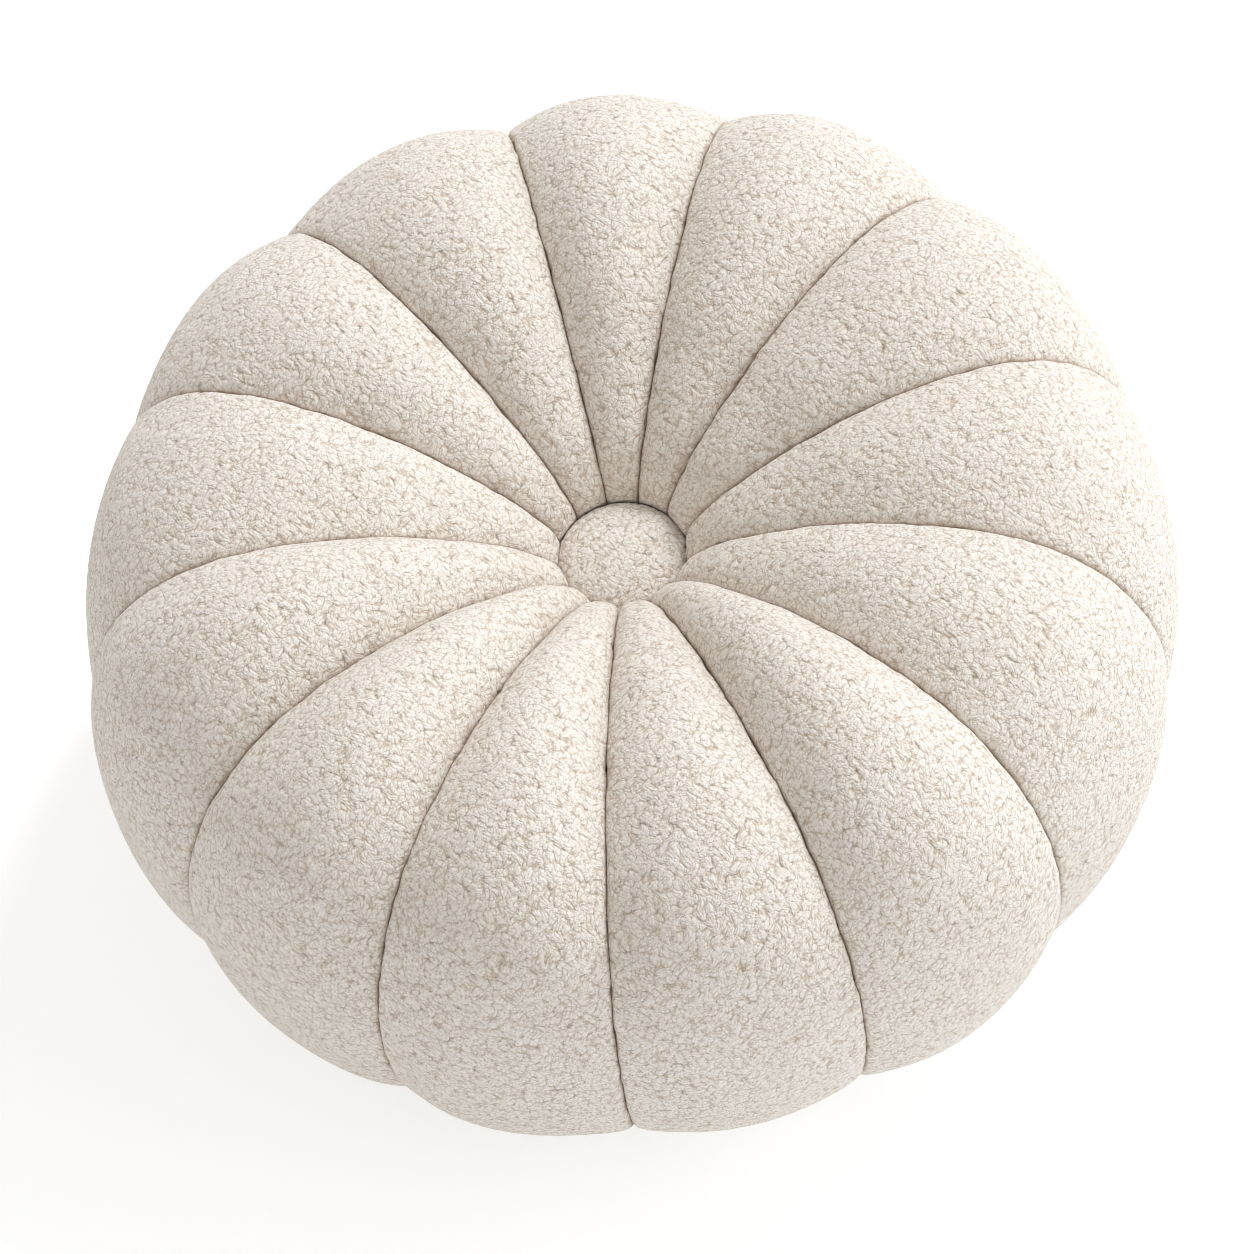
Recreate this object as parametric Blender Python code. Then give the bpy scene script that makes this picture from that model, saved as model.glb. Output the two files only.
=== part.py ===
"""Round stuffed cushion of thirteen lobes, with a covered button sunk in the middle of its face.

The cushion lies on its back: Z is up, the origin is the middle of the underside, and the
face with the button looks up. Sizes are in millimetres and become metres in the meshes.
"""

import math

import bpy
import numpy as np

MM = 0.001

# The seams run from the button, over the crown and the girth, to the middle of the underside.
# Each row is one station along them: the radius and height of the seam line, and the radius
# and height of the crest of the lobe beside it.
SECTION_COLUMNS = ("seam_radius", "seam_height", "crest_radius", "crest_height")
SECTIONS = (
    (27.0, 138.5, 27.2, 139.5),
    (28.0, 144.5, 25.6, 145.8),
    (33.5, 153.5, 30.5, 155.5),
    (49.5, 167.5, 46.0, 173.0),
    (75.0, 182.0, 71.5, 190.5),
    (99.0, 191.0, 95.5, 203.0),
    (135.0, 197.0, 134.5, 211.5),
    (167.0, 193.5, 170.5, 206.0),
    (192.5, 178.5, 199.5, 187.0),
    (209.5, 155.0, 215.5, 158.5),
    (218.0, 126.0, 223.0, 127.0),
    (218.0, 92.0, 223.5, 91.5),
    (209.5, 60.0, 215.0, 58.0),
    (191.0, 31.5, 195.5, 28.0),
    (165.0, 13.0, 168.0, 6.5),
    (130.0, 5.5, 131.0, -3.0),
    (80.0, 4.0, 80.0, -5.0),
    (35.0, 2.5, 35.0, -2.5),
)

# One row for each lobe, clockwise from the seam at FIRST_SEAM_DEG as seen from above.
LOBE_COLUMNS = ("width_deg", "fullness")
LOBES = (
    (27.0, 0.90),
    (28.5, 0.95),
    (30.5, 0.80),
    (29.5, 0.60),
    (28.0, 0.75),
    (25.5, 1.20),
    (25.0, 0.90),
    (25.0, 1.00),
    (26.0, 1.25),
    (28.0, 1.20),
    (29.0, 0.60),
    (28.5, 0.80),
    (29.5, 0.95),
)
FIRST_SEAM_DEG = 95.8

# The cushion is sewn slightly oval, narrower along X than along Y.
WIDTH_SHARE = 0.99

# Across a lobe the swell falls from 1 at the crest to 0 at the seam, by this power.
SWELL_POWER = 2.1
# Places of a lobe's columns, from its crest at 0 to its seam at 1.
COLUMN_PLACES = (0.0, 0.42, 0.74, 0.93)

# The sewn seam pulls the cloth in along a narrow crease.
CREASE_DEPTH = 2.0
CREASE_WIDTH = 0.9

# Inside this radius the creases grow finer and the lobes more alike, towards the button.
OPEN_RADIUS = 70.0

STEPS_PER_SECTION = 2

BUTTON_RADIUS = 26.4
BUTTON_GIRTH_HEIGHT = 138.5
BUTTON_DOME = 10.0
BUTTON_SQUARENESS = 2.3
BUTTON_SKIRT = 8.5
BUTTON_SEGMENTS = 52
BUTTON_DOME_STEPS = 6
BUTTON_SKIRT_STEPS = 3
BUTTON_BASE_SHARE = 0.8

# The well in which the button sits, a little clear of it all round.
BUTTON_GAP = 0.4
WELL_RADIUS = BUTTON_RADIUS + BUTTON_GAP
WELL_FLOOR = BUTTON_GIRTH_HEIGHT - BUTTON_SKIRT - BUTTON_GAP

# The lobes' tips meet in a small flat round under the cushion.
UNDERSIDE_ROUND_RADIUS = 14.0

CLOTH_COLOUR = (0.78, 0.73, 0.66, 1.0)
CLOTH_ROUGHNESS = 0.95


def column(rows, columns, name):
    """Values of one named column of a table."""
    place = columns.index(name)
    return np.array([row[place] for row in rows])


def smooth_line(radius, height, steps):
    """Points of a Catmull-Rom curve through the stations, with so many steps in each span."""
    points = np.stack([radius, height], axis=1)
    before = 2 * points[0] - points[1]
    after = 2 * points[-1] - points[-2]
    padded = np.vstack([before, points, after])
    share = np.arange(steps)[:, None] / steps
    spans = []
    for p0, p1, p2, p3 in zip(padded, padded[1:], padded[2:], padded[3:]):
        spans.append(
            0.5
            * (
                2 * p1
                + (p2 - p0) * share
                + (2 * p0 - 5 * p1 + 4 * p2 - p3) * share**2
                + (3 * p1 - p0 - 3 * p2 + p3) * share**3
            )
        )
    return np.vstack(spans + [points[-1:]])


def inward_normals(line):
    """Unit normals of a profile line, pointing into the stuffing."""
    along = np.gradient(line, axis=0)
    along /= np.linalg.norm(along, axis=1, keepdims=True)
    return np.stack([along[:, 1], -along[:, 0]], axis=1)


def lobe_columns():
    """Azimuth, place across the lobe, half width and fullness of each column round the cushion."""
    widths = np.radians(column(LOBES, LOBE_COLUMNS, "width_deg"))
    fullness = column(LOBES, LOBE_COLUMNS, "fullness")
    places = np.array([-1.0, *(-p for p in COLUMN_PLACES[:0:-1]), *COLUMN_PLACES])
    starts = math.radians(FIRST_SEAM_DEG) - np.concatenate([[0.0], np.cumsum(widths)[:-1]])
    azimuth = starts[:, None] - widths[:, None] * (places + 1) / 2
    across = np.broadcast_to(places, azimuth.shape)
    half_width = np.broadcast_to(widths[:, None] / 2, azimuth.shape)
    full = np.broadcast_to(fullness[:, None], azimuth.shape)
    return azimuth.ravel(), across.ravel(), half_width.ravel(), full.ravel()


def lobed_rings():
    """Rings of points of the lobed cloth, from the button to the underside's round."""
    seam = smooth_line(
        column(SECTIONS, SECTION_COLUMNS, "seam_radius"),
        column(SECTIONS, SECTION_COLUMNS, "seam_height"),
        STEPS_PER_SECTION,
    )
    crest = smooth_line(
        column(SECTIONS, SECTION_COLUMNS, "crest_radius"),
        column(SECTIONS, SECTION_COLUMNS, "crest_height"),
        STEPS_PER_SECTION,
    )
    azimuth, across, half_width, fullness = lobe_columns()
    openness = np.minimum(1, seam[:, :1] / OPEN_RADIUS)
    swell = (1 + (fullness - 1) * openness) * (1 - np.abs(across) ** SWELL_POWER)
    radius = seam[:, :1] + (crest - seam)[:, :1] * swell
    height = seam[:, 1:] + (crest - seam)[:, 1:] * swell

    from_seam = (1 - np.abs(across)) * half_width * radius
    dip = CREASE_DEPTH * openness * np.exp(-from_seam / (CREASE_WIDTH * openness))
    inward = inward_normals(seam)
    radius = radius + dip * inward[:, :1]
    height = np.maximum(height + dip * inward[:, 1:], 0)
    x = WIDTH_SHARE * radius * np.cos(azimuth)
    return np.stack([x, radius * np.sin(azimuth), height], axis=2)


def round_ring(radius, height, azimuth):
    """One plain round ring of points."""
    level = np.full_like(azimuth, height)
    return np.stack([radius * np.cos(azimuth), radius * np.sin(azimuth), level], axis=1)


def closed_body(name, rings, top, bottom):
    """Mesh through rings that run from the top down, closed by a fan to a point at each end."""
    count = rings.shape[1]
    vertices = [tuple(p) for p in (rings.reshape(-1, 3) * MM)]
    vertices += [(0.0, 0.0, top * MM), (0.0, 0.0, bottom * MM)]
    last_ring = (len(rings) - 1) * count
    faces = []
    for j in range(count):
        k = (j + 1) % count
        faces.append((len(vertices) - 2, j, k))
        faces.append((len(vertices) - 1, last_ring + k, last_ring + j))
        for row in range(0, last_ring, count):
            faces.append((row + j, row + count + j, row + count + k, row + k))
    mesh = bpy.data.meshes.new(name)
    mesh.from_pydata(vertices, [], faces)
    mesh.shade_smooth()
    return mesh


def cushion_mesh():
    """The whole stuffed body: the button's well, the lobes and the underside's round."""
    azimuth = lobe_columns()[0]
    well = [
        round_ring(WELL_RADIUS, WELL_FLOOR, azimuth),
        round_ring(WELL_RADIUS, BUTTON_GIRTH_HEIGHT - BUTTON_GAP, azimuth),
    ]
    underside = [round_ring(UNDERSIDE_ROUND_RADIUS, 0, azimuth)]
    # Azimuths fall from column to column, and reversing them lets the faces point out.
    rings = np.stack([*well, *lobed_rings(), *underside])[:, ::-1]
    return closed_body("cushion", rings, WELL_FLOOR, 0)


def button_mesh():
    """The covered button: a low, slightly squared dome over a skirt that narrows to a flat back."""
    azimuth = 2 * math.pi * np.arange(BUTTON_SEGMENTS) / BUTTON_SEGMENTS
    dome_turn = math.pi / 2 * np.arange(1, BUTTON_DOME_STEPS + 1) / BUTTON_DOME_STEPS
    skirt_turn = math.pi / 2 * np.arange(1, BUTTON_SKIRT_STEPS + 1) / BUTTON_SKIRT_STEPS
    base_radius = BUTTON_RADIUS * BUTTON_BASE_SHARE
    power = 2 / BUTTON_SQUARENESS
    rings = [
        round_ring(
            BUTTON_RADIUS * math.sin(turn) ** power,
            BUTTON_GIRTH_HEIGHT + BUTTON_DOME * max(math.cos(turn), 0) ** power,
            azimuth,
        )
        for turn in dome_turn
    ]
    rings += [
        round_ring(
            base_radius + (BUTTON_RADIUS - base_radius) * math.cos(turn),
            BUTTON_GIRTH_HEIGHT - BUTTON_SKIRT * math.sin(turn),
            azimuth,
        )
        for turn in skirt_turn
    ]
    top = BUTTON_GIRTH_HEIGHT + BUTTON_DOME
    return closed_body("button", np.stack(rings), top, BUTTON_GIRTH_HEIGHT - BUTTON_SKIRT)


def cloth_material(name):
    """Matt cream looped cloth."""
    material = bpy.data.materials.new(name)
    material.use_nodes = True
    shader = material.node_tree.nodes["Principled BSDF"]
    shader.inputs["Base Color"].default_value = CLOTH_COLOUR
    shader.inputs["Roughness"].default_value = CLOTH_ROUGHNESS
    shader.inputs["Metallic"].default_value = 0.0
    return material


def add_object(name, mesh):
    """Put one named sub-part in the scene with a cloth of its own."""
    piece = bpy.data.objects.new(name, mesh)
    piece.data.materials.append(cloth_material(name + "_cloth"))
    bpy.context.scene.collection.objects.link(piece)


def main():
    for old in list(bpy.data.objects):
        bpy.data.objects.remove(old)
    add_object("cushion", cushion_mesh())
    add_object("button", button_mesh())


main()
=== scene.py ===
"""Round stuffed cushion in cream looped cloth: thirteen sewn lobes and a covered button.

Every lobe is a gore of the cushion, from the button over the crown and the girth to the middle
of the underside. The sizes in the tables are millimetres, and the meshes are in metres, in the
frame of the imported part: Z is up, and the origin is the middle of the underside.
"""

import logging
import math
from dataclasses import dataclass, field
from enum import Enum
from typing import Iterable

import bpy
import numpy as np
from mathutils import Matrix, Vector

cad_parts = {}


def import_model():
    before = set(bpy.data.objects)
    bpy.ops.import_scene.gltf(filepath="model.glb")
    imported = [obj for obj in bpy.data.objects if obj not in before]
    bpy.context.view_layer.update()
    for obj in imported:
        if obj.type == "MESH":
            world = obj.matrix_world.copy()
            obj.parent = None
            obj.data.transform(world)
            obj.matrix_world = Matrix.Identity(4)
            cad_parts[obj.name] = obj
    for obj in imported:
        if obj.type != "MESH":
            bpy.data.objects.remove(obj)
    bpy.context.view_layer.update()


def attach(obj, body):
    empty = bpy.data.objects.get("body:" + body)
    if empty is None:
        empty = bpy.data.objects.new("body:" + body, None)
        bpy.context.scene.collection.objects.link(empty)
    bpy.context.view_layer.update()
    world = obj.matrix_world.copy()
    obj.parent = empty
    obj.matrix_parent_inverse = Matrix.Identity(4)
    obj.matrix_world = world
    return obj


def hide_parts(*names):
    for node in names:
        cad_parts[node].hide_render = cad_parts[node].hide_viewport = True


LOG = logging.getLogger("round_cushion")
MM = 0.001
BODY = "root"
HASH_START = 0xDEADBEEF
HASH_MASK = 0xFFFFFFFF
CLOTH_PLACE = "cloth_place"
# Share of painted crease shade at each point: shade painted into the seams, the button's well, under the
# button's rim and on the underside.
PAINTED_CREASE_SHADE = "painted_crease_shade"

# The seams run from the button to the middle of the underside. Each row is one station along
# them: radius and height of the seam line, then of the crest of the lobe beside it.
SECTIONS = (
    (27.0, 138.5, 27.2, 139.5),
    (28.0, 144.5, 25.6, 145.8),
    (33.5, 153.5, 30.5, 155.5),
    (49.5, 167.5, 46.0, 173.0),
    (75.0, 182.0, 71.5, 190.5),
    (99.0, 191.0, 95.5, 203.0),
    (135.0, 197.0, 134.5, 211.5),
    (167.0, 193.5, 170.5, 206.0),
    (192.5, 178.5, 199.5, 187.0),
    (209.5, 155.0, 215.5, 158.5),
    (218.0, 126.0, 223.0, 127.0),
    (218.0, 92.0, 223.5, 91.5),
    (209.5, 60.0, 215.0, 58.0),
    (191.0, 31.5, 195.5, 28.0),
    (165.0, 13.0, 168.0, 6.5),
    (130.0, 5.5, 131.0, -3.0),
    (80.0, 4.0, 80.0, -5.0),
    (35.0, 2.5, 35.0, -2.5),
)

# Width in degrees and fullness of each lobe, clockwise from the first seam.
LOBES = (
    (27.0, 0.90),
    (28.5, 0.95),
    (30.5, 0.80),
    (29.5, 0.60),
    (28.0, 0.75),
    (25.5, 1.20),
    (25.0, 0.90),
    (25.0, 1.00),
    (26.0, 1.25),
    (28.0, 1.20),
    (29.0, 0.60),
    (28.5, 0.80),
    (29.5, 0.95),
)
FIRST_SEAM_DEG = 95.8
WIDTH_SHARE = 0.99

# Last station, columns across the lobe and spacing of the rows of each band of a lobe's skin.
BANDS = (
    (3.0, 26, 0.7),
    (5.0, 52, 0.8),
    (12.0, 104, 0.95),
    (14.0, 52, 2.0),
    (17.0, 26, 2.5),
)


class Node(Enum):
    """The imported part's nodes, which are also its material slots."""

    CUSHION = "cushion"
    BUTTON = "button"


def smooth_step(value: np.ndarray, low: float, high: float) -> np.ndarray:
    """Rise smoothly from 0 at low to 1 at high."""
    share = np.clip((value - low) / (high - low), 0.0, 1.0)
    return share * share * (3.0 - 2.0 * share)


def turned_bits(value: np.ndarray, places: int) -> np.ndarray:
    """32-bit numbers with their bits turned round to the left."""
    return (value << np.uint32(places)) | (value >> np.uint32(32 - places))


def last_stir(a: np.ndarray, b: np.ndarray, c: np.ndarray) -> np.ndarray:
    """Closing rounds of the lattice hash, on three 32-bit numbers."""
    for places in (14, 11, 25, 16, 4, 14, 24):
        c = (c ^ b) - turned_bits(b, places)
        a, b, c = b, c, a
    return b


def first_stir(a: np.ndarray, b: np.ndarray, c: np.ndarray) -> tuple[np.ndarray, np.ndarray, np.ndarray]:
    """Opening rounds of the lattice hash for four inputs, on three 32-bit numbers."""
    for places in (4, 6, 8, 16, 19, 4):
        a = (a - c) ^ turned_bits(c, places)
        c = c + b
        a, b, c = b, c, a
    return a, b, c


def lattice_hash(cells: np.ndarray) -> np.ndarray:
    """Three fixed random numbers from 0 to 1 for each lattice cell.

    They are the same numbers that the Voronoi node uses for a cell, so the curls worked out
    here and those of the cloth's shader lie in the same places.

    Args:
        cells: whole-numbered cells, one row of three for each.

    Returns:
        One row of three numbers for each cell.
    """
    bits = (cells + 0.0).astype(np.float32).view(np.uint32)
    x, y, z = bits[:, 0], bits[:, 1], bits[:, 2]
    three, four = (np.uint32((HASH_START + (inputs << 2) + 13) & HASH_MASK) for inputs in (3, 4))
    numbers = [last_stir(x + three, y + three, z + three)]
    for extra in (1.0, 2.0):
        a, b, c = first_stir(x + four, y + four, z + four)
        numbers.append(last_stir(a + np.float32(extra).view(np.uint32), b, c))
    return np.stack(numbers, axis=1) / float(HASH_MASK)


def soft_noise(points: np.ndarray, pitch: float, seed: int) -> np.ndarray:
    """Smooth noise: hashed values at lattice corners, blended by a smooth step along each axis.

    Args:
        points: places, in millimetres.
        pitch: spacing of the lattice, in millimetres.
        seed: picks one pattern.

    Returns:
        Values from -1 to 1 at the points.
    """
    place = points / pitch
    corner = np.floor(place)
    share = place - corner
    share = share * share * (3.0 - 2.0 * share)
    total = np.zeros(len(points))
    for dx in (0, 1):
        for dy in (0, 1):
            for dz in (0, 1):
                step = np.array([dx, dy, dz])
                weight = np.prod(np.where(step, share, 1.0 - share), axis=1)
                total += weight * lattice_hash(corner + step + seed)[:, 0]
    return 2.0 * total - 1.0


@dataclass(frozen=True)
class Ripple:
    """Soft unevenness: its height and its spacing in millimetres, and the pattern it picks."""

    height: float
    pitch: float
    seed: int

    def at(self, points: np.ndarray) -> np.ndarray:
        """Lift at each point, up to the height either way."""
        return self.height * soft_noise(points, self.pitch, self.seed)


@dataclass(frozen=True)
class CurlField:
    """Looped pile: packed rounded curls of uneven size and height, with narrow dips between."""

    pitch: float = 2.8
    ball: float = 1.0
    relief: float = 0.6
    pushes: tuple[tuple[float, tuple[float, float, float]], ...] = (
        (0.8, (0.52, -0.38, 0.41)),
        (0.4, (-0.93, 1.02, 0.88)),
        (0.14, (2.9, 2.3, -2.7)),
    )

    def pushed(self, points: np.ndarray) -> np.ndarray:
        """Points moved by waves, which make the curls' outlines uneven.

        Each wave adds its reach times the sine of the cross product of place and direction.
        """
        for reach, direction in self.pushes:
            points = points + reach * np.sin(np.cross(points, direction))
        return points

    def heights(self, points: np.ndarray) -> np.ndarray:
        """Give the pile's height, from 0 in a dip to 1 on a tall curl.

        The curls are balls round the nearest cell's point, cut by the skin: the height is the
        root of 1 minus the squared distance to that point, in parts of the balls' size.

        Args:
            points: places, in millimetres.

        Returns:
            One height for each point.
        """
        place = self.pushed(points) / self.pitch
        cell = np.floor(place)
        nearest = np.full(len(points), np.inf)
        for step in np.ndindex(3, 3, 3):
            near = cell + (np.array(step) - 1)
            nearest = np.minimum(nearest, np.linalg.norm(place - near - lattice_hash(near), axis=1))
        return np.sqrt(np.maximum(0.0, 1.0 - (nearest / self.ball) ** 2))


@dataclass(frozen=True)
class Profile:
    """The seam line and the crest line, as smooth curves through the section table."""

    sections: tuple[tuple[float, ...], ...] = SECTIONS
    fine_steps: int = 400

    def at(self, station: np.ndarray) -> np.ndarray:
        """Read the curves by a Catmull-Rom blend of the four stations about each place.

        Args:
            station: places along the table, from 0 to its last row, fractions included.

        Returns:
            Seam radius, seam height, crest radius and crest height, on the last axis.
        """
        rows = np.array(self.sections)
        padded = np.vstack([2 * rows[0] - rows[1], rows, 2 * rows[-1] - rows[-2]])
        index = np.clip(np.floor(station).astype(int), 0, len(rows) - 2)
        share = (station - index)[..., None]
        p0, p1, p2, p3 = (padded[index + step] for step in range(4))
        return 0.5 * (
            2 * p1
            + (p2 - p0) * share
            + (2 * p0 - 5 * p1 + 4 * p2 - p3) * share**2
            + (3 * p1 - p0 - 3 * p2 + p3) * share**3
        )

    def spaced(self, first: float, last: float, pitch: float) -> np.ndarray:
        """Stations from first to last, about one pitch apart along the crest line."""
        fine = np.linspace(first, last, self.fine_steps)
        crest = self.at(fine)[:, 2:]
        length = np.concatenate([[0.0], np.cumsum(np.linalg.norm(np.diff(crest, axis=0), axis=1))])
        steps = max(2, math.ceil(length[-1] / pitch))
        return np.interp(np.linspace(0.0, length[-1], steps + 1), length, fine)


@dataclass
class Skin:
    """Rows of points that change width, which become one closed mesh."""

    points: list[np.ndarray] = field(default_factory=list)
    cloth: list[np.ndarray] = field(default_factory=list)
    # Share of painted crease shade at each point, from 0 to 1.
    seams: list[np.ndarray] = field(default_factory=list)
    faces: list[np.ndarray] = field(default_factory=list)
    count: int = 0

    def add_points(self, points: np.ndarray, cloth: np.ndarray, seam: np.ndarray | float) -> np.ndarray:
        """Store points.

        Args:
            points: places of the finished surface.
            cloth: places of the smooth skin under them, which the cloth's pattern follows.
            seam: share of painted crease shade at the points, from 0 to 1.

        Returns:
            The points' numbers.
        """
        numbers = np.arange(self.count, self.count + len(points))
        self.points.append(points)
        self.cloth.append(cloth)
        self.seams.append(np.broadcast_to(seam, len(points)))
        self.count += len(points)
        return numbers

    def add_faces(self, *corners: np.ndarray) -> None:
        """Store faces, whose corners are given as one array of point numbers for each corner."""
        self.faces.append(np.stack([np.ravel(corner) for corner in corners], axis=1))

    def join_rows(self, upper: np.ndarray, lower: np.ndarray) -> None:
        """Fill the strip between two rows of equal width, or of which one has twice the columns.

        Args:
            upper: point numbers of the row nearer to the button.
            lower: point numbers of the next row.
        """
        if len(upper) == len(lower):
            self.add_faces(upper[:-1], upper[1:], lower[1:], lower[:-1])
            return
        narrow, wide, flip = (upper, lower, False) if len(upper) < len(lower) else (lower, upper, True)
        left, middle, right = wide[:-1:2], wide[1::2], wide[2::2]
        for corners in (
            (narrow[:-1], middle, left),
            (narrow[:-1], narrow[1:], middle),
            (narrow[1:], right, middle),
        ):
            self.add_faces(*(corners[::-1] if flip else corners))

    def mesh(self, name: str) -> bpy.types.Mesh:
        """Make the mesh, in metres, with the pattern's places and the painted crease shade as attributes."""
        mesh = bpy.data.meshes.new(name)
        points = np.concatenate(self.points) * MM
        corners = np.concatenate([face.ravel() for face in self.faces])
        sizes = np.concatenate([np.full(len(face), face.shape[1]) for face in self.faces])
        mesh.vertices.add(len(points))
        mesh.vertices.foreach_set("co", points.astype(np.float32).ravel())
        mesh.loops.add(len(corners))
        mesh.loops.foreach_set("vertex_index", corners.astype(np.int32))
        mesh.polygons.add(len(sizes))
        starts = np.concatenate([[0], np.cumsum(sizes)[:-1]])
        mesh.polygons.foreach_set("loop_start", starts.astype(np.int32))
        mesh.update(calc_edges=True)
        mesh.validate()
        place = mesh.attributes.new(CLOTH_PLACE, "FLOAT_VECTOR", "POINT")
        place.data.foreach_set("vector", np.concatenate(self.cloth).astype(np.float32).ravel())
        seam = mesh.attributes.new(PAINTED_CREASE_SHADE, "FLOAT", "POINT")
        seam.data.foreach_set("value", np.concatenate(self.seams).astype(np.float32))
        mesh.shade_smooth()
        return mesh


@dataclass(frozen=True)
class Lobe:
    """One stuffed gore of the cushion, from its tip at the button to its tip underneath.

    The swell power shapes its crown, and the crease is the pull of the sewn seam. Lumps are
    uneven stuffing, puckers and stitches are unevenness of the cloth near a seam, and the waver
    moves the seam's line sideways. The pile is lower at a seam and at the tip than in the open.
    """

    number: int
    start: float
    width: float
    fullness: float
    profile: Profile = Profile()
    curls: CurlField = CurlField()
    swell_power: float = 2.1
    crease_depth: float = 2.0
    crease_width: float = 0.9
    open_radius: float = 70.0
    crowding: float = 0.3
    lumps: Ripple = Ripple(1.1, 52.0, 500)
    lump_rise: tuple[float, float] = (2.0, 22.0)
    puckers: Ripple = Ripple(0.35, 8.5, 700)
    pucker_reach: float = 7.0
    stitches: Ripple = Ripple(0.3, 3.6, 1100)
    waver: Ripple = Ripple(0.45, 6.0, 900)
    waver_reach: float = 2.5
    pile_level: float = 0.6
    pile_at_seam: float = 0.55
    pile_at_tip: float = 0.6
    pile_rise: float = 6.0
    tip_end: float = 0.8
    seam_gap: float = 0.06
    # Width in millimetres of the shade painted into a seam's crease.
    seam_shade: float = 0.6
    well_radius: float = 26.8
    well_floor: float = 129.6
    underside_round: float = 14.0
    core_height: float = 60.0
    well_steps: tuple[float, ...] = (0.0, 0.33, 0.66)
    # Share of shade painted on the wall of the button's well.
    well_shade: float = 1.0
    gather_steps: tuple[float, ...] = (0.33, 0.66, 1.0)
    # Share of shade painted on the gathered underside.
    gather_shade: float = 0.5
    slope_step: float = 0.01
    normal_step: float = 0.004

    def skin_points(self, place: np.ndarray, station: np.ndarray) -> tuple[np.ndarray, np.ndarray]:
        """Smooth skin of the lobe.

        The point stands between the seam line and the crest line, by the lobe's fullness times
        1 minus the place across the lobe to the swell power. The sewn seam pulls it in by the
        crease's depth, which dies away with the distance from the seam. Near the button the
        creases are finer, and the lobes are squarer and more alike.

        Args:
            place: place across the lobe, from -1 at its first seam to 1 at its second.
            station: place along the section table.

        Returns:
            The points, and each one's distance from the nearer seam, in millimetres.
        """
        rows = self.profile.at(station)
        ahead = self.profile.at(station + self.slope_step)
        behind = self.profile.at(station - self.slope_step)
        along = ahead[..., :2] - behind[..., :2]
        along /= np.linalg.norm(along, axis=-1, keepdims=True)
        openness = np.minimum(1.0, rows[..., 0] / self.open_radius)
        fullness = 1.0 + (self.fullness - 1.0) * openness
        swell = fullness * (1.0 - np.abs(place) ** (self.swell_power / np.sqrt(openness)))
        radius = rows[..., 0] + (rows[..., 2] - rows[..., 0]) * swell
        height = rows[..., 1] + (rows[..., 3] - rows[..., 1]) * swell
        from_seam = (1.0 - np.abs(place)) * self.width / 2 * radius
        dip = self.crease_depth * openness * np.exp(-from_seam / (self.crease_width * openness))
        radius = radius + dip * along[..., 1]
        height = height - dip * along[..., 0]
        azimuth = self.start - self.width * (place + 1.0) / 2
        return np.stack([radius * np.cos(azimuth), radius * np.sin(azimuth), height], axis=-1), from_seam

    def normals(self, place: np.ndarray, station: np.ndarray) -> np.ndarray:
        """Outward unit normals of the smooth skin, from small steps across and along it."""
        step = self.normal_step
        right = np.minimum(place + step, 1.0)
        left = np.maximum(place - step, -1.0)
        across = self.skin_points(right, station)[0] - self.skin_points(left, station)[0]
        along = self.skin_points(place, station + step)[0] - self.skin_points(place, station - step)[0]
        normal = np.cross(across, along)
        return normal / np.linalg.norm(normal, axis=-1, keepdims=True)

    def kept_inside(self, points: np.ndarray) -> np.ndarray:
        """Keep points on the lobe's own side of both seam planes, and above the surface below."""
        kept = points.copy()
        for azimuth, side in ((self.start, -1.0), (self.start - self.width, 1.0)):
            inward = side * np.array([-math.sin(azimuth), math.cos(azimuth)])
            short = np.maximum(0.0, self.seam_gap - kept[:, :2] @ inward)
            kept[:, :2] += short[:, None] * inward
        kept[:, 2] = np.maximum(kept[:, 2], 0.0)
        kept[:, 0] *= WIDTH_SHARE
        return kept

    def dressed(self, place: np.ndarray, station: np.ndarray) -> tuple[np.ndarray, np.ndarray, np.ndarray]:
        """Looped skin: the smooth skin, lifted along its normals by stuffing, puckers and curls.

        Args:
            place: place across the lobe.
            station: place along the section table.

        Returns:
            The points, the smooth skin's points, and the share of shade painted into the crease near a seam,
            from 0 to 1.
        """
        points, from_seam = self.skin_points(place, station)
        normal = self.normals(place, station)
        open_cloth = smooth_step(from_seam, 0.0, self.pile_rise)
        tip = smooth_step(station, 0.0, self.tip_end)
        lumps = self.lumps.at(points) * smooth_step(from_seam, *self.lump_rise) * tip
        puckers = self.puckers.at(points) * np.exp(-from_seam / self.pucker_reach) * tip
        stitches = self.stitches.at(points) * np.exp(-from_seam / self.crease_width) * tip
        pile = self.curls.relief * (self.curls.heights(points) - self.pile_level)
        pile *= self.pile_at_seam + (1.0 - self.pile_at_seam) * open_cloth
        pile *= self.pile_at_tip + (1.0 - self.pile_at_tip) * tip
        lift = lumps + puckers + stitches + pile
        # The last value is shade painted into the seam's crease.
        return points + lift[:, None] * normal, points, np.exp(-((from_seam / self.seam_shade) ** 2))

    def columns(self, count: int) -> np.ndarray:
        """Places of the columns across the lobe, closer together towards the seams."""
        even = np.linspace(-1.0, 1.0, count + 1)
        return even * (1.0 + self.crowding * (1.0 - even**2))

    def wavering(self, place: np.ndarray, station: np.ndarray) -> np.ndarray:
        """Sideways shift near a seam, whose line wavers a little between the curls.

        The shift is noise read on the nearer seam's line, which the next lobe reads as well, and
        it dies away with the distance from the seam.
        """
        rows = self.profile.at(station)
        azimuth = self.start - self.width * (place > 0)
        line = np.column_stack([rows[:, 0] * np.cos(azimuth), rows[:, 0] * np.sin(azimuth), rows[:, 1]])
        from_seam = (1.0 - np.abs(place)) * self.width / 2 * rows[:, 0]
        fade = smooth_step(station, 0.0, 1.0) * np.exp(-from_seam / self.waver_reach)
        shift = self.waver.at(line) * fade
        return shift[:, None] * np.column_stack([-np.sin(azimuth), np.cos(azimuth), np.zeros_like(azimuth)])

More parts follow.
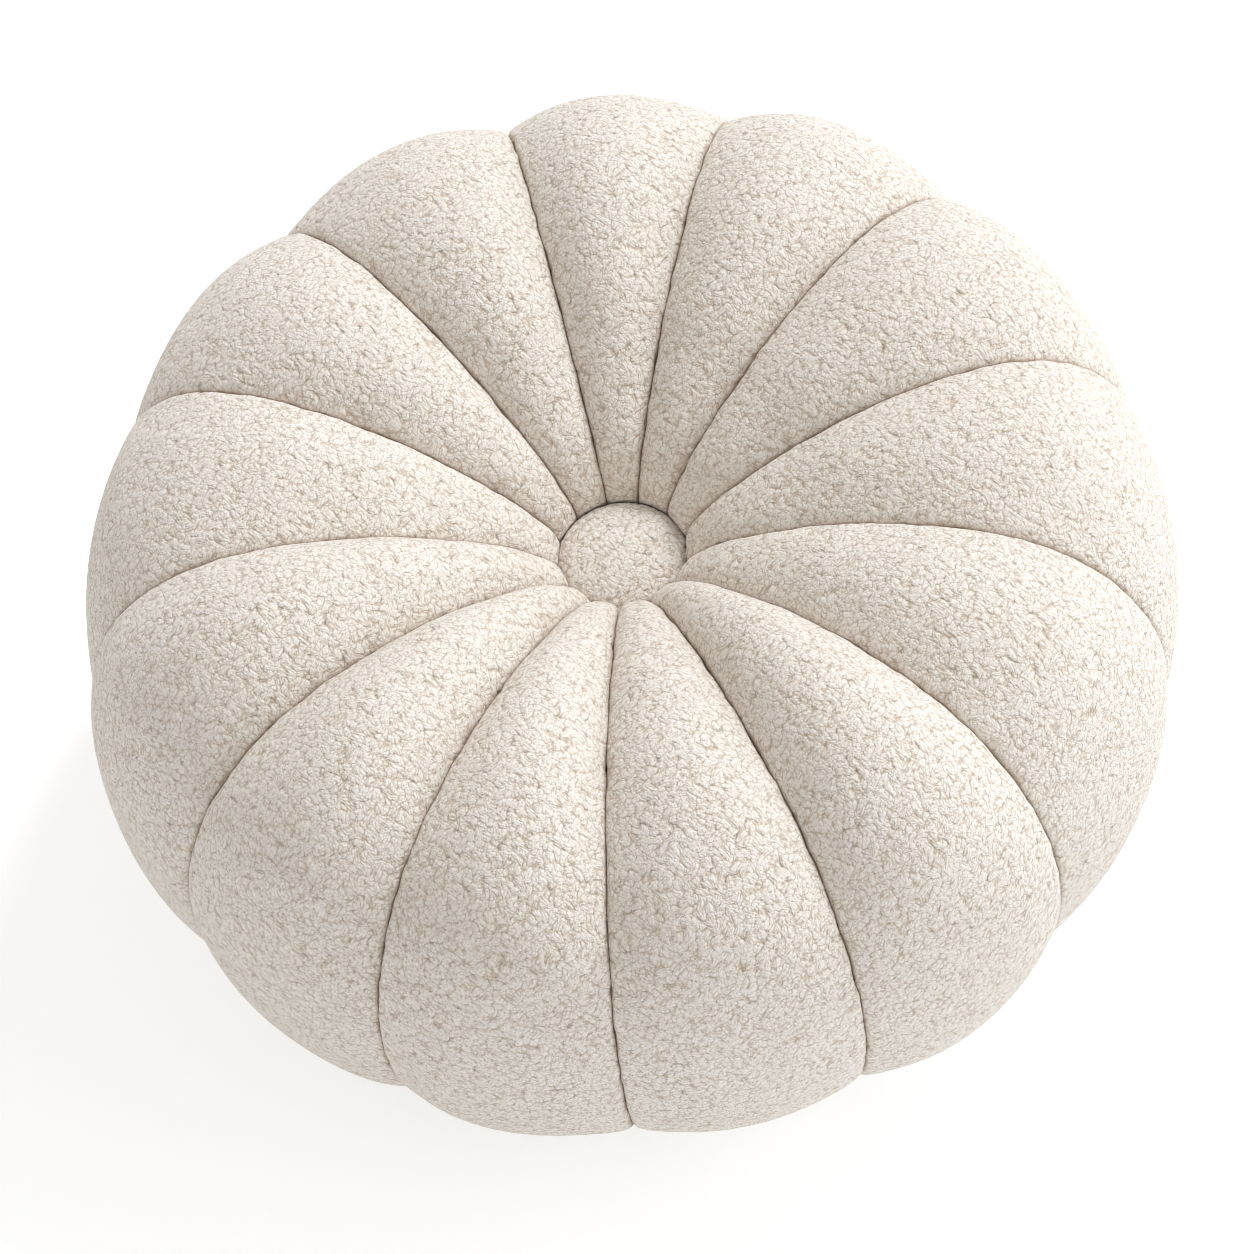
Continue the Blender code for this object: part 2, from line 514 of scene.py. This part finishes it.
    def build(self) -> bpy.types.Object:
        """Make the lobe as one closed gore."""
        skin = Skin()
        rows = self.well_rows(skin)
        start_station = 0.0
        for band, (last_station, columns, pitch) in enumerate(BANDS):
            stations = self.profile.spaced(start_station, last_station, pitch)
            if band and BANDS[band - 1][1] < columns:
                stations = stations[1:]
            if band + 1 < len(BANDS) and BANDS[band + 1][1] < columns:
                stations = stations[:-1]
            place, station = (grid.ravel() for grid in np.meshgrid(self.columns(columns), stations))
            points, cloth, seam = self.dressed(place, station)
            points = self.kept_inside(points) + self.wavering(place, station)
            rows.extend(skin.add_points(points, cloth, seam).reshape(len(stations), -1))
            start_station = last_station
        rows.extend(self.gathered_rows(skin, rows[-1]))

        for upper, lower in zip(rows, rows[1:]):
            skin.join_rows(upper, lower)
        apex = self.seam_gap / math.sin(self.width / 2)
        middle = self.start - self.width / 2
        spine = np.array([
            [apex * math.cos(middle) * WIDTH_SHARE, apex * math.sin(middle), height]
            for height in (self.well_floor, self.core_height, 0.0)
        ])
        top, core, bottom = skin.add_points(spine, spine, self.well_shade)
        self.close(skin, rows, top, core, bottom)
        name = f"lobe_{self.number:02d}"
        piece = bpy.data.objects.new(name, skin.mesh(name))
        bpy.context.scene.collection.objects.link(piece)
        return piece

    def well_rows(self, skin: Skin) -> list[np.ndarray]:
        """Rows up the wall of the button's well, as far as the skin's first row, with shade painted on them.
        """
        place = self.columns(BANDS[0][1])
        points, cloth, _ = self.dressed(place, np.zeros_like(place))
        direction = points[:, :2] / np.linalg.norm(points[:, :2], axis=1, keepdims=True)
        edge = np.column_stack([direction * self.well_radius, np.full(len(direction), self.well_floor)])
        return [
            skin.add_points(self.kept_inside(edge + step * (points - edge)), cloth, self.well_shade)
            for step in self.well_steps
        ]

    def gathered_rows(self, skin: Skin, last_row: np.ndarray) -> list[np.ndarray]:
        """Rows from the skin's last row in to the flat round under the cushion, with shade painted on them.
        """
        points = np.concatenate(skin.points)[last_row] / np.array([WIDTH_SHARE, 1.0, 1.0])
        cloth = np.concatenate(skin.cloth)[last_row]
        direction = points[:, :2] / np.linalg.norm(points[:, :2], axis=1, keepdims=True)
        edge = np.column_stack([direction * self.underside_round, np.zeros(len(direction))])
        return [
            skin.add_points(self.kept_inside(points + step * (edge - points)), cloth, self.gather_shade)
            for step in self.gather_steps
        ]

    @staticmethod
    def close(skin: Skin, rows: list[np.ndarray], top: int, core: int, bottom: int) -> None:
        """Close the gore: a fan at each tip, and a fan from the core down each seam's wall."""
        for row, point, turned in ((rows[0], top, True), (rows[-1], bottom, False)):
            centre = np.full(len(row) - 1, point)
            pair = (row[1:], row[:-1]) if turned else (row[:-1], row[1:])
            skin.add_faces(centre, *pair)
        for column, turned in ((0, False), (-1, True)):
            edge = np.array([top, *(row[column] for row in rows), bottom])
            centre = np.full(len(edge) - 1, core)
            pair = (edge[1:], edge[:-1]) if turned else (edge[:-1], edge[1:])
            skin.add_faces(centre, *pair)


@dataclass(frozen=True)
class Button:
    """The covered button: a low dome whose cloth is drawn in round a narrower back."""

    radius: float = 26.4
    girth_height: float = 138.5
    dome: float = 10.0
    squareness: float = 2.3
    skirt: float = 8.5
    base_share: float = 0.8
    columns: int = 208
    row_pitch: float = 0.75
    dome_arc: float = 1.15
    skirt_arc: float = 1.2
    tuck: float = 0.15
    pile_level: float = 0.5
    pile_lost: float = 0.6
    pile_fade: tuple[float, float] = (0.9, 1.1)
    # Turns over which the shade painted under the rim rises.
    rim_shade: tuple[float, float] = (1.0, 1.3)
    slope_step: float = 0.002
    curls: CurlField = CurlField(relief=0.7)

    def profile(self, turn: np.ndarray) -> tuple[np.ndarray, np.ndarray]:
        """Radius and height at a turn, from 0 at the pole to 1 at the rim and 2 at the back.

        Over the dome both follow the quarter of a slightly squared ellipse, and under the rim a
        plain one, which narrows to the back's share of the radius.
        """
        over = np.pi / 2 * np.minimum(turn, 1.0)
        power = 2.0 / self.squareness
        outward, upward = np.sin(over) ** power, np.maximum(np.cos(over), 0.0) ** power
        under = np.pi / 2 * np.maximum(turn - 1.0, 0.0)
        rim = self.radius - self.tuck
        back = rim * self.base_share
        radius = np.where(turn < 1.0, rim * outward, back + (rim - back) * np.cos(under))
        height = self.girth_height + self.dome * upward - self.skirt * np.sin(under)
        return radius, height

    def build(self) -> bpy.types.Object:
        """Make the button as one closed body."""
        dome_rows = math.ceil(self.radius * self.dome_arc / self.row_pitch)
        skirt_rows = math.ceil(self.skirt * self.skirt_arc / self.row_pitch)
        over = np.linspace(0.0, 1.0, dome_rows + 1)[1:]
        under = 1.0 + np.linspace(0.0, 1.0, skirt_rows + 1)[1:]
        turn, azimuth = np.meshgrid(
            np.concatenate([over, under]),
            -2 * np.pi * np.arange(self.columns) / self.columns,
            indexing="ij",
        )
        radius, height = self.profile(turn)
        ahead = self.profile(turn + self.slope_step)
        behind = self.profile(turn - self.slope_step)
        along = np.stack([ahead[0] - behind[0], ahead[1] - behind[1]], axis=-1)
        along /= np.linalg.norm(along, axis=-1, keepdims=True)
        points = np.stack([radius * np.cos(azimuth), radius * np.sin(azimuth), height], axis=-1)
        outward = np.stack(
            [-along[..., 1] * np.cos(azimuth), -along[..., 1] * np.sin(azimuth), along[..., 0]], axis=-1
        )
        cloth = points.reshape(-1, 3)
        open_cloth = 1.0 - self.pile_lost * smooth_step(turn.ravel(), *self.pile_fade)
        lift = self.curls.relief * (self.curls.heights(cloth) - self.pile_level) * open_cloth
        dressed = cloth + lift[:, None] * outward.reshape(-1, 3)
        # Shade painted under the button's rim, down towards the well.
        rim = smooth_step(turn.ravel(), *self.rim_shade)

        skin = Skin()
        numbers = skin.add_points(dressed, cloth, rim).reshape(turn.shape)
        wrapped = np.concatenate([numbers, numbers[:, :1]], axis=1)
        for upper, lower in zip(wrapped, wrapped[1:]):
            skin.join_rows(upper, lower)
        poles = np.array([
            [0.0, 0.0, self.girth_height + self.dome],
            [0.0, 0.0, self.girth_height - self.skirt],
        ])
        top, bottom = skin.add_points(poles, poles, 0.0)
        ring = np.full(self.columns, top)
        skin.add_faces(ring, wrapped[0][1:], wrapped[0][:-1])
        ring = np.full(self.columns, bottom)
        skin.add_faces(ring, wrapped[-1][:-1], wrapped[-1][1:])
        piece = bpy.data.objects.new("covered_button", skin.mesh("covered_button"))
        bpy.context.scene.collection.objects.link(piece)
        return piece


class Value:
    """A number that varies over a surface. Python's operators on it add Math nodes."""

    def __init__(self, graph: "ShaderGraph", socket: bpy.types.NodeSocket) -> None:
        """Wrap one output socket of a graph."""
        self.graph = graph
        self.socket = socket

    def math(self, operation: str, *others: "Value | float", first: "Value | float | None" = None) -> "Value":
        """Add one Math node.

        Args:
            operation: the node's operation.
            others: the operands after this value.
            first: an operand to put before this value.

        Returns:
            The node's result.
        """
        operands = ([] if first is None else [first]) + [self, *others]
        node = self.graph.node("ShaderNodeMath", {"operation": operation}, dict(enumerate(operands)))
        return Value(self.graph, node.outputs[0])

    def __add__(self, other: "Value | float") -> "Value":
        """Sum."""
        return self.math("ADD", other)

    def __radd__(self, other: "Value | float") -> "Value":
        """Sum with a plain number first."""
        return self.math("ADD", other)

    def __sub__(self, other: "Value | float") -> "Value":
        """Difference."""
        return self.math("SUBTRACT", other)

    def __rsub__(self, other: "Value | float") -> "Value":
        """Difference from a plain number."""
        return self.math("SUBTRACT", first=other)

    def __mul__(self, other: "Value | float") -> "Value":
        """Product."""
        return self.math("MULTIPLY", other)

    def __rmul__(self, other: "Value | float") -> "Value":
        """Product with a plain number first."""
        return self.math("MULTIPLY", other)

    def __truediv__(self, other: "Value | float") -> "Value":
        """Quotient."""
        return self.math("DIVIDE", other)

    def __pow__(self, other: "Value | float") -> "Value":
        """Power."""
        return self.math("POWER", other)

    def clamped(self) -> "Value":
        """The value held between 0 and 1."""
        return self.math("MAXIMUM", 0.0).math("MINIMUM", 1.0)

    def rise(self, low: float, high: float) -> "Value":
        """A smooth rise from 0 at low to 1 at high."""
        node = self.graph.node(
            "ShaderNodeMapRange",
            {"interpolation_type": "SMOOTHSTEP"},
            {"Value": self, "From Min": low, "From Max": high},
        )
        return Value(self.graph, node.outputs["Result"])


class ShaderGraph:
    """The node tree of one material, with one method that adds any node."""

    def __init__(self, name: str) -> None:
        """Start a material with an empty tree."""
        self.material = bpy.data.materials.new(name)
        self.material.use_nodes = True
        self.material.node_tree.nodes.clear()

    def node(
        self,
        kind: str,
        settings: dict[str, object] | None = None,
        inputs: dict[str | int, object] | None = None,
    ) -> bpy.types.Node:
        """Add a node, set its settings, and then fill its sockets.

        Args:
            kind: the node's type.
            settings: the node's own properties.
            inputs: values or links, by the socket's name, identifier or place.

        Returns:
            The new node.
        """
        node = self.material.node_tree.nodes.new(kind)
        for name, setting in (settings or {}).items():
            setattr(node, name, setting)
        for key, given in (inputs or {}).items():
            socket = self.find(node.inputs, key)
            source = given.socket if isinstance(given, Value) else given
            if isinstance(source, bpy.types.NodeSocket):
                self.material.node_tree.links.new(source, socket)
            else:
                socket.default_value = source
        return node

    @staticmethod
    def find(sockets: Iterable[bpy.types.NodeSocket], key: str | int) -> bpy.types.NodeSocket:
        """Socket with this place, identifier or name."""
        if isinstance(key, int):
            return sockets[key]
        by_identifier = [socket for socket in sockets if socket.identifier == key]
        return by_identifier[0] if by_identifier else sockets[key]

    def attribute(self, name: str) -> Value:
        """A value stored at the mesh's points."""
        return Value(self, self.node("ShaderNodeAttribute", {"attribute_name": name}).outputs["Fac"])

    def mixed(self, share: Value, low: object, high: object) -> bpy.types.NodeSocket:
        """Colour between two, by a share from 0 to 1."""
        inputs = {"Factor_Float": share, "A_Color": low, "B_Color": high}
        node = self.node("ShaderNodeMix", {"data_type": "RGBA"}, inputs)
        return self.find(node.outputs, "Result_Color")

    def vectors(self, operation: str, *operands: object) -> bpy.types.NodeSocket:
        """Vector Math on one or two vectors."""
        node = self.node("ShaderNodeVectorMath", {"operation": operation}, dict(enumerate(operands)))
        return node.outputs["Vector"]

    def noise(self, place: object, scale: float, detail: float) -> bpy.types.Node:
        """Noise Texture at a place, with so many cells a millimetre."""
        return self.node("ShaderNodeTexNoise", None, {"Vector": place, "Scale": scale, "Detail": detail})


@dataclass(frozen=True)
class CurlLayer:
    """One size of curls in the shader: its pitch, its height and how much shade is painted in its dips."""

    pitch: float
    height: float
    painted_shade: float


@dataclass(frozen=True)
class Grain:
    """Finest unevenness of the yarn: its pitch, its height, and how much shade is painted in its low places.
    """

    pitch: float
    height: float
    painted_shade: float
    low: float
    high: float


@dataclass(frozen=True)
class LoopedCloth:
    """Cream looped cloth: matt rounded curls with painted tan shade in the dips, finer strands and the yarn's
    grain.

    The tip colour is the cloth's own cream on a curl. The dip colour is painted shade between the curls and
    in the yarn's low places, and also the tone of faint random patches. The last colour is painted shade in a
    seam, in the button's well, under the button's rim and on the underside.
    """

    name: str
    curls: CurlField = CurlField()
    strands: CurlLayer = CurlLayer(pitch=1.35, height=0.5, painted_shade=0.55)
    grain: Grain = Grain(pitch=0.7, height=0.3, painted_shade=0.14, low=0.33, high=0.55)
    curl_height: float = 0.85
    curl_painted_shade: float = 0.62
    line_start: float = 0.72
    line_depth: tuple[float, float] = (0.2, 0.7)
    patch_scale: float = 0.035
    patch_detail: float = 1.0
    patch_rise: tuple[float, float] = (0.3, 0.7)
    patch_share: float = 0.05
    # How strongly the painted crease shade colour is mixed in.
    crease_shade_share: float = 0.6
    # The tip colour is the cloth's own; the dip colour is painted shade and also random patch tone; the last
    # is painted crease shade.
    tip: tuple[float, float, float, float] = (0.87, 0.83, 0.785, 1.0)
    dip: tuple[float, float, float, float] = (0.56, 0.46, 0.365, 1.0)
    crease_shade_colour: tuple[float, float, float, float] = (0.46, 0.34, 0.24, 1.0)
    roughness: float = 0.95
    sheen: float = 0.12
    sheen_roughness: float = 0.5
    specular: float = 0.25

    def pattern(self, graph: ShaderGraph) -> bpy.types.NodeSocket:
        """Places of the pattern, pushed by the same waves as the curls of the mesh."""
        place = graph.node("ShaderNodeAttribute", {"attribute_name": CLOTH_PLACE}).outputs["Vector"]
        for reach, direction in self.curls.pushes:
            wave = graph.vectors("SINE", graph.vectors("CROSS_PRODUCT", place, direction))
            place = graph.vectors("ADD", place, graph.vectors("MULTIPLY", wave, (reach,) * 3))
        return place

    def packed(self, graph: ShaderGraph, place: object, layer: CurlLayer) -> tuple[Value, Value]:
        """Packed curls of one layer.

        Returns:
            Their height in millimetres, and how far a place is darkened between them.
        """
        nearest, second = (
            Value(graph, graph.node(
                "ShaderNodeTexVoronoi", {"feature": feature}, {"Vector": place, "Scale": 1.0 / layer.pitch}
            ).outputs["Distance"])
            for feature in ("F1", "F2")
        )
        depth = nearest * (1.0 / self.curls.ball)
        dome = (1.0 - depth * depth).math("MAXIMUM", 0.0) ** 0.5
        # Painted shade in narrow lines where the curls meet, deeper where the dip is deeper.
        line = (nearest / second).rise(self.line_start, 1.0) * depth.rise(*self.line_depth)
        return dome * layer.height, line * layer.painted_shade

    def material(self) -> bpy.types.Material:
        """Build the material's nodes."""
        graph = ShaderGraph(self.name)
        place = self.pattern(graph)
        # Share of painted crease shade at each point.
        seam = graph.attribute(PAINTED_CREASE_SHADE)
        noise = graph.noise(place, self.patch_scale, self.patch_detail)
        patches = Value(graph, noise.outputs["Fac"]).rise(*self.patch_rise)
        curls = CurlLayer(self.curls.pitch, self.curl_height, self.curl_painted_shade)
        curl_height, curl_painted_shade = self.packed(graph, place, curls)
        strand_height, strand_painted_shade = self.packed(graph, place, self.strands)
        yarn = Value(graph, graph.noise(place, 1.0 / self.grain.pitch, 0.0).outputs["Fac"])
        # Painted shade in the yarn's low places.
        low_yarn_shade = 1.0 - yarn.rise(self.grain.low, self.grain.high)
        height = curl_height + strand_height + yarn * self.grain.height
        painted_shade = curl_painted_shade + strand_painted_shade + low_yarn_shade * self.grain.painted_shade

        # Painted shade between the curls and in the yarn's low places, faint random patches of tone, then
        # painted crease shade.
        colour = graph.mixed(painted_shade.clamped(), self.tip, self.dip)
        colour = graph.mixed(patches * self.patch_share, colour, self.dip)
        colour = graph.mixed((seam * self.crease_shade_share).clamped(), colour, self.crease_shade_colour)
        bump = graph.node(
            "ShaderNodeBump",
            None,
            {"Height": height, "Distance": MM, "Strength": 1.0},
        )
        shader = graph.node(
            "ShaderNodeBsdfPrincipled",
            None,
            {
                "Base Color": colour,
                "Roughness": self.roughness,
                "Sheen Weight": self.sheen,
                "Sheen Roughness": self.sheen_roughness,
                "Specular IOR Level": self.specular,
                "Normal": bump.outputs["Normal"],
            },
        )
        graph.node("ShaderNodeOutputMaterial", None, {"Surface": shader.outputs["BSDF"]})
        return graph.material


@dataclass(frozen=True)
class SoftLight:
    """One far, soft light: where it stands, how wide it looks, how strong it is and its tint."""

    name: str
    azimuth: float
    elevation: float
    spread: float
    strength: float
    tint: tuple[float, float, float]

    def hang(self) -> None:
        """Add the light to the scene."""
        azimuth, elevation = math.radians(self.azimuth), math.radians(self.elevation)
        toward = Vector((
            math.cos(elevation) * math.cos(azimuth),
            math.cos(elevation) * math.sin(azimuth),
            math.sin(elevation),
        ))
        lamp = bpy.data.lights.new(self.name, "SUN")
        lamp.energy = self.strength
        lamp.angle = math.radians(self.spread)
        lamp.color = self.tint
        light = bpy.data.objects.new(self.name, lamp)
        light.rotation_euler = toward.to_track_quat("Z", "Y").to_euler()
        bpy.context.scene.collection.objects.link(light)


@dataclass(frozen=True)
class Studio:
    """Pale glowing floor, two soft lights from the right, an even sky and the camera.

    The floor glows more for the camera than for the cushion, so its shadow stays pale.
    """

    floor_side: float = 12.0
    floor_level: float = -0.0003
    floor_colour: tuple[float, float, float, float] = (0.88, 0.90, 0.92, 1.0)
    floor_roughness: float = 0.9
    floor_glow: float = 0.26
    floor_glow_in_view: float = 0.40
    sky: float = 0.60
    sky_tint: tuple[float, float, float, float] = (1.03, 1.0, 0.965, 1.0)
    soft_lights: tuple[SoftLight, ...] = (
        SoftLight("key_light", 44.0, 42.0, 20.0, 2.0, (0.97, 1.0, 1.03)),
        SoftLight("side_light", -10.0, 16.0, 50.0, 0.95, (0.97, 1.0, 1.03)),
    )
    target: tuple[float, float, float] = (0.0, 0.0, 0.105)
    target_pixel: tuple[float, float] = (630.1, 605.7)
    image_side: float = 1254.0
    focal_pixels: float = 3962.0
    elevation: float = 57.62
    distance: float = 1.602
    roll: float = -8.92
    sensor: float = 36.0
    pixel_filter: float = 1.0

    def floor(self) -> None:
        """Lay the pale floor under the cushion."""
        half = self.floor_side / 2
        mesh = bpy.data.meshes.new("studio_floor")
        corners = [(-half, -half), (half, -half), (half, half), (-half, half)]
        mesh.from_pydata([(x, y, self.floor_level) for x, y in corners], [], [(0, 1, 2, 3)])
        floor = bpy.data.objects.new("studio_floor", mesh)
        bpy.context.scene.collection.objects.link(floor)
        graph = ShaderGraph("pale_floor")
        in_view = Value(graph, graph.node("ShaderNodeLightPath").outputs["Is Camera Ray"])
        glow, glow_in_view = ((share,) * 3 + (1.0,) for share in (self.floor_glow, self.floor_glow_in_view))
        shader = graph.node(
            "ShaderNodeBsdfPrincipled",
            None,
            {
                "Base Color": self.floor_colour,
                "Roughness": self.floor_roughness,
                "Specular IOR Level": 0.0,
                "Emission Color": graph.mixed(in_view, glow, glow_in_view),
                "Emission Strength": 1.0,
            },
        )
        graph.node("ShaderNodeOutputMaterial", None, {"Surface": shader.outputs["BSDF"]})
        mesh.materials.append(graph.material)

    def lights(self) -> None:
        """Hang the soft lights and set the even sky."""
        for light in self.soft_lights:
            light.hang()
        world = bpy.data.worlds.new("even_sky")
        world.use_nodes = True
        background = world.node_tree.nodes["Background"]
        background.inputs["Color"].default_value = self.sky_tint
        background.inputs["Strength"].default_value = self.sky
        bpy.context.scene.world = world
        bpy.context.scene.view_settings.view_transform = "Standard"
        bpy.context.scene.cycles.filter_width = self.pixel_filter

    def camera(self) -> None:
        """Set the camera at the photograph's angle, distance, roll and lens.

        The camera first faces the target, and is then turned by the small angles that bring
        the target to its pixel.
        """
        elevation = math.radians(self.elevation)
        back = Vector((0.0, -math.cos(elevation), math.sin(elevation)))
        lens = bpy.data.cameras.new("photo_camera")
        lens.sensor_width = self.sensor
        lens.lens = self.focal_pixels / self.image_side * self.sensor
        camera = bpy.data.objects.new("photo_camera", lens)
        right_of_centre = self.target_pixel[0] - self.image_side / 2
        above_centre = self.image_side / 2 - self.target_pixel[1]
        facing = back.to_track_quat("Z", "Y").to_matrix()
        aim = (
            Matrix.Rotation(math.atan(right_of_centre / self.focal_pixels), 3, "Y")
            @ Matrix.Rotation(-math.atan(above_centre / self.focal_pixels), 3, "X")
        )
        turned = facing @ Matrix.Rotation(math.radians(self.roll), 3, "Z") @ aim
        place = Vector(self.target) + back * self.distance
        camera.matrix_world = Matrix.Translation(place) @ turned.to_4x4()
        bpy.context.scene.collection.objects.link(camera)
        bpy.context.scene.camera = camera


@dataclass(frozen=True)
class Cover:
    """All the lobes, in their order clockwise round the button."""

    fill: float = 0.85

    def build(self, cloth: bpy.types.Material) -> list[bpy.types.Object]:
        """Build and dress every lobe.

        Args:
            cloth: the looped cloth.

        Returns:
            The lobes' objects.
        """
        pieces = []
        start = math.radians(FIRST_SEAM_DEG)
        for number, (width_deg, fullness) in enumerate(LOBES, 1):
            width = math.radians(width_deg)
            piece = Lobe(number, start, width, fullness).build()
            dress(piece, Node.CUSHION, cloth)
            pieces.append(piece)
            start -= width
        return pieces


def dress(piece: bpy.types.Object, node: Node, cloth: bpy.types.Material) -> None:
    """Give a piece its cloth and its body, and hide the imported node that it stands for."""
    piece.data.materials.append(cloth)
    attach(piece, BODY)
    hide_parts(node.value)
    LOG.info("%s: %d faces, for %s", piece.name, len(piece.data.polygons), node.value)


def main() -> None:
    """Build the studio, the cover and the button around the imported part."""
    logging.basicConfig(level=logging.INFO, format="%(message)s")
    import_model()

    studio = Studio()
    studio.camera()
    studio.lights()
    studio.floor()
    LOG.info("studio: camera, two soft lights, sky and floor")

    Cover().build(LoopedCloth("looped_cloth").material())
    button = Button().build()
    dress(button, Node.BUTTON, LoopedCloth("button_cloth").material())


if __name__ == "__main__":
    main()
